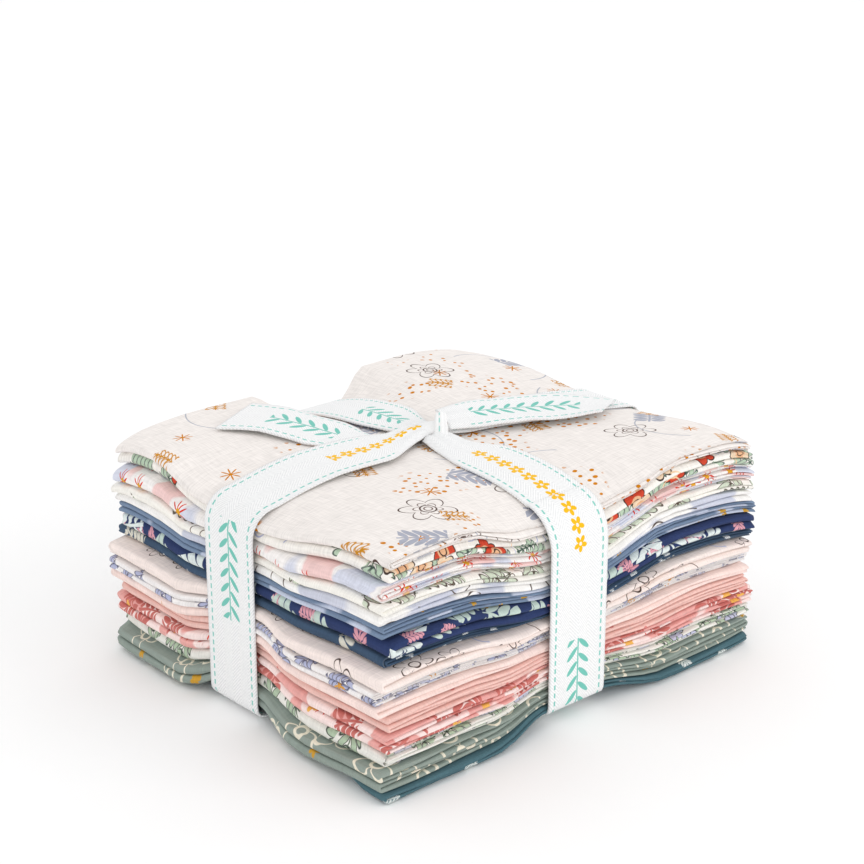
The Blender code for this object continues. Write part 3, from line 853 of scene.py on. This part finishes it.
# %% [markdown]
# ## Twill tape
# The tape is a firm white cotton tape, 25.4 mm wide, woven in a fine herringbone, with a dashed line of
# teal stitches just inside each edge. Between the lines it carries a plain garland of small gold
# flowers and teal sprigs. The herringbone is a slanted stripe whose slant turns over every few
# millimetres across the tape; in the UV map, u runs across the tape and v along it.

# %% The tape's material
TAPE_WIDTH = 25.4 * MM
STITCH_LINE = 10.3 * MM
STITCH_PITCH = 2.9 * MM
FLOWER_PITCH = 6.0 * MM
LEAF_PITCH = 5.2 * MM


def tape_material(name, gold_runs, teal_runs, bare_neck):
    """White herringbone with two dashed stitch lines, and runs of print at distances v along the tape.

    Gold runs are rows of flowers, teal runs a stem with leaves on both sides in turn, from start to stop
    in mm. In the first stretch, bare_neck long, the edges are folded under, so no stitches show.
    """
    dye = Dye(name, 0.8, sheen=0.1)
    side = abs(dye.u)
    column = dye.u.maths("PINGPONG", TAPE_WIDTH / 6)
    twill = ((column * 1.1 + dye.v) * (math.tau / (1.2 * MM))).maths("SINE")
    threads = dye.noise(900.0, 1.0)
    dash = (dye.v / STITCH_PITCH).maths("FRACT").under(0.58, 0.08) * dye.v.over(bare_neck, 0.5 * MM)
    stitch = abs(side - STITCH_LINE).under(0.34 * MM, EDGE) * dash
    local_v = ((dye.v / FLOWER_PITCH).maths("FRACT") - 0.5) * FLOWER_PITCH
    distance = distance_of(dye.u, local_v)
    petals = petal_wave(dye.u.maths("ARCTAN2", local_v), 5) * (1.8 * MM) + 1.1 * MM
    gold = (distance - petals).under(0.0, EDGE) * distance.over(0.6 * MM, EDGE)
    in_turn = dye.v - side * 0.8 + dye.u.over(0.0, 0.01 * MM) * (LEAF_PITCH / 2)
    leaf_v = ((in_turn / LEAF_PITCH).maths("FRACT") - 0.5) * (LEAF_PITCH / (1.15 * MM))
    leaf = distance_of(leaf_v, (side - 2.6 * MM) / (2.3 * MM)).under(1.0, 0.12)
    teal = leaf.maths("MAXIMUM", side.under(0.3 * MM, EDGE))
    # The herringbone's low grooves are painted darker here: painted shade along the twill, laid over the
    # threads' own uneven tone.
    colour = dye.mixed(ink("e4e5e6"), ink("fbfbfb"), twill * 0.42 + 0.55 + (threads - 0.5) * 0.6)
    for shape, runs, code in ((gold, gold_runs, "f5be12"), (teal, teal_runs, "74c6b8")):
        for start, stop in runs:
            run = dye.v.over(start * MM, 0.1 * MM) * dye.v.under(stop * MM, 0.1 * MM)
            colour = dye.mixed(colour, ink(code), shape * run)
    colour = dye.mixed(colour, ink("86cfc3"), stitch)
    relief = twill * 0.35 + threads * 0.5 - stitch * 0.8
    return dye.finish(colour, relief, 0.5, 0.22 * MM)


# %% [markdown]
# ## The two wraps
# The tape is pulled tight over the top, bends sharply over the edge, runs straight down the face and
# passes under the stack. It could be a curve with a flat bevel, but its width changes: near the knot it
# is gathered to about half, in soft pleats. So a wrap is a path in a plane, with a width and a domed,
# pleated section at each of its points.

# %% Wrap paths and strips
TAPE_THICKNESS = 0.55 * MM
TAPE_CLEARANCE = 0.5 * MM
UNDER_BEND = 2.4 * MM
PATH_POINTS = 260
ACROSS_POINTS = 25
ACROSS = np.linspace(-1.0, 1.0, ACROSS_POINTS)[:, None]
STATIONS = np.array([3.0, 6.0, 9.0, 13.0, 17.0, 22.0, 28.0, 34.0, 41.0, 48.0, 55.0, 62.0]) * MM
NECK_FLAT = 7.0 * MM
NECK_CROWN = 1.5 * MM
NEAR_NECK_REACH = 30.0 * MM
WRAP_BARE_NECK = 21.0 * MM
TAIL_BARE_NECK = 9.0 * MM


def smooth_path(points, count):
    """Points at even steps along a broken line, after six passes of a three-point mean on a finer line."""
    points = np.asarray(points, float)
    length = running_length(*points.T)
    fine = np.linspace(0.0, length[-1], count * 4)
    dense = np.stack([np.interp(fine, length, column) for column in points.T])
    for _ in range(6):
        dense[:, 1:-1] = (dense[:, :-2] + dense[:, 1:-1] + dense[:, 2:]) / 3
    length = running_length(*dense)
    even = np.linspace(0.0, length[-1], count)
    return np.stack([np.interp(even, length, column) for column in dense]), even


def arc_points(run, height, radius, side, up, start, stop):
    """A quarter circle of the path round an edge, as (run, height) pairs."""
    angle = np.radians(np.linspace(start, stop, 9))
    return list(zip(side * (run + radius * np.cos(angle)), height + up * radius * np.sin(angle)))


def wrap_half(side, face, top_at, under_at, bend):
    """From the gathered end near the knot, over the edge, down the face and in under the stack."""
    drawn_up = 1.0 * MM * fade(STATIONS, 4.0 * MM, 14.0 * MM)
    points = [(side * run, top_at(side * run) + lift) for run, lift in zip(STATIONS, drawn_up)]
    high = top_at(side * (face - bend))
    low = under_at(side * (face - UNDER_BEND))
    points += arc_points(face - bend, high - bend, bend, side, 1.0, 90.0, 0.0)
    points += [(side * face, height) for height in np.linspace(high - bend, low + UNDER_BEND, 6)[1:-1]]
    points += arc_points(face - UNDER_BEND, low + UNDER_BEND, UNDER_BEND, side, -1.0, 0.0, 90.0)
    points += [(side * run, under_at(side * run)) for run in STATIONS[::-1]]
    return points


def neck_height(s):
    """Height across a gathered neck, for a crown of 1: the dome 1 - s^2 with three small pleats on it."""
    return 1.0 - s**2 + 0.2 * np.cos(3.0 * np.pi * s)


def tape_piece(name, node, points, length, side, prints, flip):
    """A strip of tape from its points, thickened to one side. prints is what tape_material takes."""
    across_lengths = np.linspace(-TAPE_WIDTH / 2, TAPE_WIDTH / 2, ACROSS_POINTS)
    mesh = grid_mesh(name, points.swapaxes(0, 1), across_lengths, length, flip=flip)
    material = tape_material(name + "_twill", *prints)
    return finish_piece(name, mesh, TAPE_THICKNESS, side, node, [material])


def build_wrap(name, node, plane, neck, prints):
    """Both halves of a wrap as one strip, from the knot's near side, under the stack, to its far side.

    neck is the gathered width, how far the near and the far half stand sideways where they enter the
    knot, and how far from the knot the far half has its full width. The path runs towards the low side
    on top both times, so its normal points down and the dome is taken off along it.
    """
    face, top_at, under_at, skew, bends, along_x = plane
    neck_width, near_shift, far_shift, far_reach = neck
    low = wrap_half(-1.0, face, top_at, under_at, bends[0])
    high = wrap_half(1.0, face, top_at, under_at, bends[1])
    (run, height), length = smooth_path(low + high[::-1], PATH_POINTS)
    on_top = height > FULL_HEIGHT / 2
    near_knot = fade(run, NECK_FLAT, by_side(run, NEAR_NECK_REACH, far_reach)) * on_top
    at_knot = fade(run, 3.0 * MM, 9.0 * MM) * on_top
    half_width = (TAPE_WIDTH - (TAPE_WIDTH - neck_width) * near_knot - 2.0 * MM * at_knot) / 2
    sideways = skew * run + by_side(run, near_shift, far_shift) * near_knot
    tangent = np.stack([np.gradient(run), np.gradient(height)])
    tangent = tangent / np.hypot(*tangent)
    dome = -NECK_CROWN * near_knot**2 * neck_height(ACROSS)
    out = sideways + ACROSS * half_width
    run = run - tangent[1] * dome
    height = height + tangent[0] * dome
    points = np.stack([run, out, height] if along_x else [out, run, height], axis=-1)
    whole = length[-1] / MM
    teal_runs = prints["teal"] + [(whole - stop, whole - start) for start, stop in prints["far teal"]]
    prints = (prints["gold"], teal_runs, WRAP_BARE_NECK)
    return tape_piece(name, node, points, length, -1.0, prints, along_x), length[-1]


def long_top(run):
    """Height of the long wrap's inner side: on the cloth, or raised over the left loose end."""
    over = (TAPE_THICKNESS + 0.5 * MM) * fade(run + 27.0 * MM, 20.0 * MM, 36.0 * MM) * (run < 0)
    return top_height(run, 0.0) + TAPE_CLEARANCE + over


def long_under(run):
    """Just under the lowest cloth."""
    return bottom_height(run, 0.0) - TAPE_CLEARANCE


def cross_top(run):
    """Height of the cross wrap's inner side on the top cloth."""
    return top_height(0.0, run) + TAPE_CLEARANCE


def cross_under(run):
    """Under the lowest cloth, and under the long wrap where the two cross."""
    under = (TAPE_THICKNESS + TAPE_CLEARANCE) * fade(run, 14.0 * MM, 26.0 * MM)
    return bottom_height(0.0, run) - TAPE_CLEARANCE - under


LONG_BENDS = (9.0 * MM, 4.0 * MM)
LONG_PLANE = (HALF_LENGTH + 0.1 * MM, long_top, long_under, LONG_SKEW, LONG_BENDS, True)
LONG_NECK = (12.0 * MM, 3.0 * MM, 3.0 * MM, 52.0 * MM)
LONG_PRINTS = {"gold": [(0.5, 40)], "teal": [(82, 117)], "far teal": [(89, 124)]}
CROSS_BENDS = (13.5 * MM, 4.0 * MM)
CROSS_PLANE = (HALF_WIDTH + 0.3 * MM, cross_top, cross_under, CROSS_SKEW, CROSS_BENDS, False)
CROSS_NECK = (13.5 * MM, -1.8 * MM, 0.0, 30.0 * MM)
CROSS_PRINTS = {"gold": [(18, 84)], "teal": [(114, 149)], "far teal": [(13, 37), (105, 140)]}
long_wrap, long_length = build_wrap("long_wrap", "tape_long_wrap", LONG_PLANE, LONG_NECK, LONG_PRINTS)
cross_wrap, cross_length = build_wrap("cross_wrap", "tape_cross_wrap", CROSS_PLANE, CROSS_NECK, CROSS_PRINTS)
print("wrap lengths in mm:", round(long_length / MM), round(cross_length / MM))

# %% [markdown]
# ## The loose ends
# Two ends leave the knot, widen from a gathered neck to the full tape, and lie on the top cloth, a
# little lifted between the points where they touch. A centre line with a width at each point is
# enough; the height is the cloth's own height under it plus a lift of its own.

# %% Loose ends
# each row: along, across and width in mm, turn in degrees, lift and tilt in mm
TAIL_POINTS = 70
ON_WRAP = TAPE_CLEARANCE + 1.1 * MM
LEFT_TAIL = (
    (-5.0, 3.6, 6.5, 0.0, 0.0, 0.0),
    (-14.0, 4.0, 9.5, 0.0, 0.0, 0.0),
    (-21.5, 7.0, 16.5, 0.0, 0.0, 0.0),
    (-25.5, 14.0, 24.0, 0.0, 0.1, 0.0),
    (-30.0, 27.0, 25.4, 0.0, 0.3, 0.0),
    (-36.5, 40.5, 25.4, 0.0, 0.5, 0.0),
    (-45.3, 53.6, 25.4, -6.0, 0.2, 0.0),
)
RIGHT_TAIL = (
    (4.0, 0.4, 7.5, 0.0, 4.0, 2.4),
    (12.0, 0.6, 13.0, 0.0, 3.0, 2.4),
    (24.0, -0.4, 20.0, 0.0, 1.9, 1.4),
    (36.0, -2.6, 24.5, 0.0, 1.1, 0.6),
    (49.0, -7.2, 25.4, -8.0, 0.7, 0.0),
    (65.0, -16.0, 22.0, -28.0, 0.4, 0.0),
)


def resting_height(along, across, spread):
    """The highest of nine points of the cloth around each point, which carry a stiff tape."""
    steps = (-spread, 0.0, spread)
    return np.max([top_height(along + i, across + j) for i in steps for j in steps], axis=0)


def build_tail(name, node, rows, offset, teal_run):
    """A strip whose ribs stand square to its centre line, with a slanted end, laid on the cloth."""
    centre = np.array(rows)[:, :2] * MM
    path, length = smooth_path(centre, TAIL_POINTS)
    share = np.linspace(0.0, 1.0, TAIL_POINTS)
    known = np.linspace(0.0, 1.0, len(rows))
    width, turn, lift, tilt = [np.interp(share, known, column) for column in np.array(rows).T[2:]]
    half_width = width * MM / 2
    heading = np.arctan2(np.gradient(path[1]), np.gradient(path[0])) + np.radians(turn)
    p = path[0] - np.sin(heading) * half_width * ACROSS
    q = path[1] + np.cos(heading) * half_width * ACROSS
    points = place(p, q, np.full(p.shape, FULL_HEIGHT))
    gathered = 1.0 - half_width / half_width.max()
    wave = 0.35 * MM * np.sin(share * 11.0) * ACROSS * (1.0 - gathered)
    dome = 1.2 * MM * gathered * neck_height(ACROSS)
    height = resting_height(p, q, 3.0 * MM) + offset + lift * MM + tilt * MM * ACROSS
    points[..., 2] = height + dome + wave
    prints = ([], [teal_run], TAIL_BARE_NECK)
    return tape_piece(name, node, points, length, 1.0, prints, True), length[-1]


left_tail, left_length = build_tail("left_loose_end", "tape_tail_left", LEFT_TAIL, TAPE_CLEARANCE, (29, 56))
right_tail, right_length = build_tail("right_loose_end", "tape_tail_right", RIGHT_TAIL, ON_WRAP, (12, 54))
print("loose ends in mm:", round(left_length / MM), round(right_length / MM))

# %% [markdown]
# ## The knot
# Where the tape is tied, its gathered turns make a low pad, and one turn stands over it as an upright
# band in soft pleats. The pad is a flattened ball with ridges that follow the tape; the band is a half
# ring with a pleated oval section. Both are closed surfaces of two angles.

# %% Knot pad and band
KNOT_TURN = math.radians(-41.0)
KNOT_PLACE = (2.4 * MM, -0.9 * MM)
KNOT_BASE = top_height(0.0, 0.0) + 0.2 * MM


def closed_surface(name, points):
    """A mesh from rings of points, each ring closed, with the first and last ring drawn to a point."""
    rings, around = points.shape[:2]
    first, last = rings * around, rings * around + 1
    index = np.arange(first).reshape(rings, around)
    ahead = np.roll(index, -1, axis=1)
    quads = np.stack([index[:-1], ahead[:-1], ahead[1:], index[1:]], axis=-1).reshape(-1, 4)
    vertices = np.concatenate([points.reshape(-1, 3), points[0].mean(0)[None], points[-1].mean(0)[None]])
    fans = [(first, here, there) for here, there in zip(ahead[0].tolist(), index[0].tolist())]
    fans += [(last, here, there) for here, there in zip(index[-1].tolist(), ahead[-1].tolist())]
    mesh = bpy.data.meshes.new(name)
    mesh.from_pydata(vertices.tolist(), [], quads.tolist() + fans)
    mesh.update()
    mesh.uv_layers.new(name="weave")
    mesh.shade_smooth()
    return mesh


def turned(x, y, z):
    """The knot's own x and y turned about the vertical into the bundle's, and moved to the knot's place."""
    cosine, sine = math.cos(KNOT_TURN), math.sin(KNOT_TURN)
    east = KNOT_PLACE[0] + x * cosine - y * sine
    north = KNOT_PLACE[1] + x * sine + y * cosine
    return np.stack([east, north, z], axis=-1)


def knot_pad():
    """The gathered turns beside the band: a long low ball with 12 ridges, highest at the band's side."""
    tilt = np.linspace(0.06, np.pi - 0.06, 26)[:, None]
    angle = np.linspace(0.0, math.tau, 64, endpoint=False)[None, :]
    ridge = 1.0 + 0.03 * np.cos(12.0 * angle) * np.sin(tilt)
    x = 6.4 * MM * np.sin(tilt) ** 0.8 * np.cos(angle) * ridge - 3.6 * MM
    y = 4.6 * MM * np.sin(tilt) ** 0.8 * np.sin(angle) * ridge
    rise = 2.9 * MM + 0.10 * x
    z = KNOT_BASE + rise * (1.0 - np.cos(tilt))
    return turned(x, y, z)[:, ::-1]


def knot_band():
    """A half ring over the pad: section 2.1 by 1.1 mm, its outer side ridged in three pleats."""
    around = np.linspace(-0.22, np.pi + 0.22, 40)[:, None]
    angle = np.linspace(0.0, math.tau, 48, endpoint=False)[None, :]
    wide = 2.1 * MM * np.sign(np.cos(angle)) * np.abs(np.cos(angle)) ** 0.8
    thick = 1.1 * MM * np.sin(angle) * (1.0 + 0.22 * np.cos(wide / MM * 3.4))
    x = wide * (1.0 + 0.12 * np.cos(2 * around))
    y = (5.0 * MM + thick) * np.cos(around)
    z = KNOT_BASE + 0.8 * MM + (6.9 * MM + thick) * np.sin(around)
    return turned(x + 0.0 * around, y, np.maximum(z, KNOT_BASE - 0.2 * MM))


def knot_material():
    """The tape's white on a small scale: fine threads along the pleats, and one line of teal stitches."""
    dye = Dye("tape_twill_knot", 0.8, sheen=0.1)
    where = dye.node("TexCoord", {}, {}, output=3)
    x, y, height = dye.split(where)
    east, north = x - KNOT_PLACE[0], y - KNOT_PLACE[1]
    own_x = east * math.cos(KNOT_TURN) + north * math.sin(KNOT_TURN)
    own_y = north * math.cos(KNOT_TURN) - east * math.sin(KNOT_TURN)
    dash = ((height + own_y) / (4.2 * MM)).maths("FRACT").under(0.6, 0.1)
    shown = height.over(KNOT_BASE + 1.0 * MM, 0.3 * MM) * abs(own_y).under(6.5 * MM, 0.1 * MM)
    stitch = abs(own_x + 0.6 * MM).under(0.2 * MM, EDGE) * dash * shown
    threads = dye.node("TexNoise", {}, {"Vector": where, "Scale": 1400.0, "Detail": 2.0})
    colour = dye.mixed(ink("ececec"), ink("fbfbfb"), threads)
    return dye.finish(dye.mixed(colour, ink("9fdbd1"), stitch), threads, 0.4, 0.2 * MM)


KNOT_WHITE = knot_material()
pad_mesh = closed_surface("knot_pad", knot_pad())
band_mesh = closed_surface("knot_band", knot_band())
pad = finish_piece("knot_pad", pad_mesh, 0.0, 0.0, "tape_knot", [KNOT_WHITE])
band = finish_piece("knot_band", band_mesh, 0.0, 0.0, None, [KNOT_WHITE])

# %% [markdown]
# ## Floor, light and camera
# The bundle was photographed on white under broad soft light. A white floor, an even white sky and one
# large area light from the front give the same. The camera was fitted to the seven corners that show.

# %% Stage
WHITE = (1.0, 1.0, 1.0, 1.0)
FLOOR_HALF = 4.0
FLOOR_LEVEL = -0.4 * MM
SOFTBOX_PLACE = np.array([0.5, -1.2, 0.7])
SOFTBOX_TARGET = np.array([0.0, 0.0, 0.04])
CAMERA_AZIMUTH = math.radians(-41.623)
CAMERA_ELEVATION = math.radians(19.807)
CAMERA_DISTANCE = 681.24 * MM
CAMERA_TARGET = np.array([-0.892, 0.0, 79.464]) * MM
FOCAL_PIXELS = 1999.94
PHOTO_PIXELS = 864
SENSOR_WIDTH = 36.0
scene = bpy.context.scene


def add_to_scene(name, data):
    """An object that holds the data, linked to the scene."""
    obj = bpy.data.objects.new(name, data)
    scene.collection.objects.link(obj)
    return obj


corners = [(x * FLOOR_HALF, y * FLOOR_HALF, FLOOR_LEVEL) for x, y in ((-1, -1), (1, -1), (1, 1), (-1, 1))]
floor_mesh = bpy.data.meshes.new("floor")
floor_mesh.from_pydata(corners, [], [(0, 1, 2, 3)])
floor_dye = Dye("floor_paper", 0.9)
floor_dye.shader.inputs["Base Color"].default_value = WHITE
floor_mesh.materials.append(floor_dye.material)
add_to_scene("floor", floor_mesh)

scene.world = bpy.data.worlds.new("studio")
scene.world.use_nodes = True
sky = scene.world.node_tree.nodes["Background"]
sky.inputs["Color"].default_value = WHITE
sky.inputs["Strength"].default_value = 1.0

light = bpy.data.lights.new("key_softbox", "AREA")
light.energy = 3.0
light.size = 0.7
lamp = add_to_scene("key_softbox", light)
lamp.location = SOFTBOX_PLACE
x, y, z = SOFTBOX_PLACE - SOFTBOX_TARGET
lamp.rotation_euler = (math.atan2(math.hypot(x, y), z), 0.0, math.atan2(x, -y))

camera_data = bpy.data.cameras.new("camera")
camera_data.sensor_width = SENSOR_WIDTH
camera_data.lens = FOCAL_PIXELS / PHOTO_PIXELS * SENSOR_WIDTH
camera_data.clip_start = 0.05
camera = add_to_scene("camera", camera_data)
level_back = CAMERA_DISTANCE * math.cos(CAMERA_ELEVATION)
east, south = level_back * math.sin(CAMERA_AZIMUTH), level_back * math.cos(CAMERA_AZIMUTH)
camera.location = CAMERA_TARGET + (east, -south, CAMERA_DISTANCE * math.sin(CAMERA_ELEVATION))
camera.rotation_euler = (math.pi / 2 - CAMERA_ELEVATION, 0.0, CAMERA_AZIMUTH)
scene.camera = camera
scene.view_settings.view_transform = "Standard"
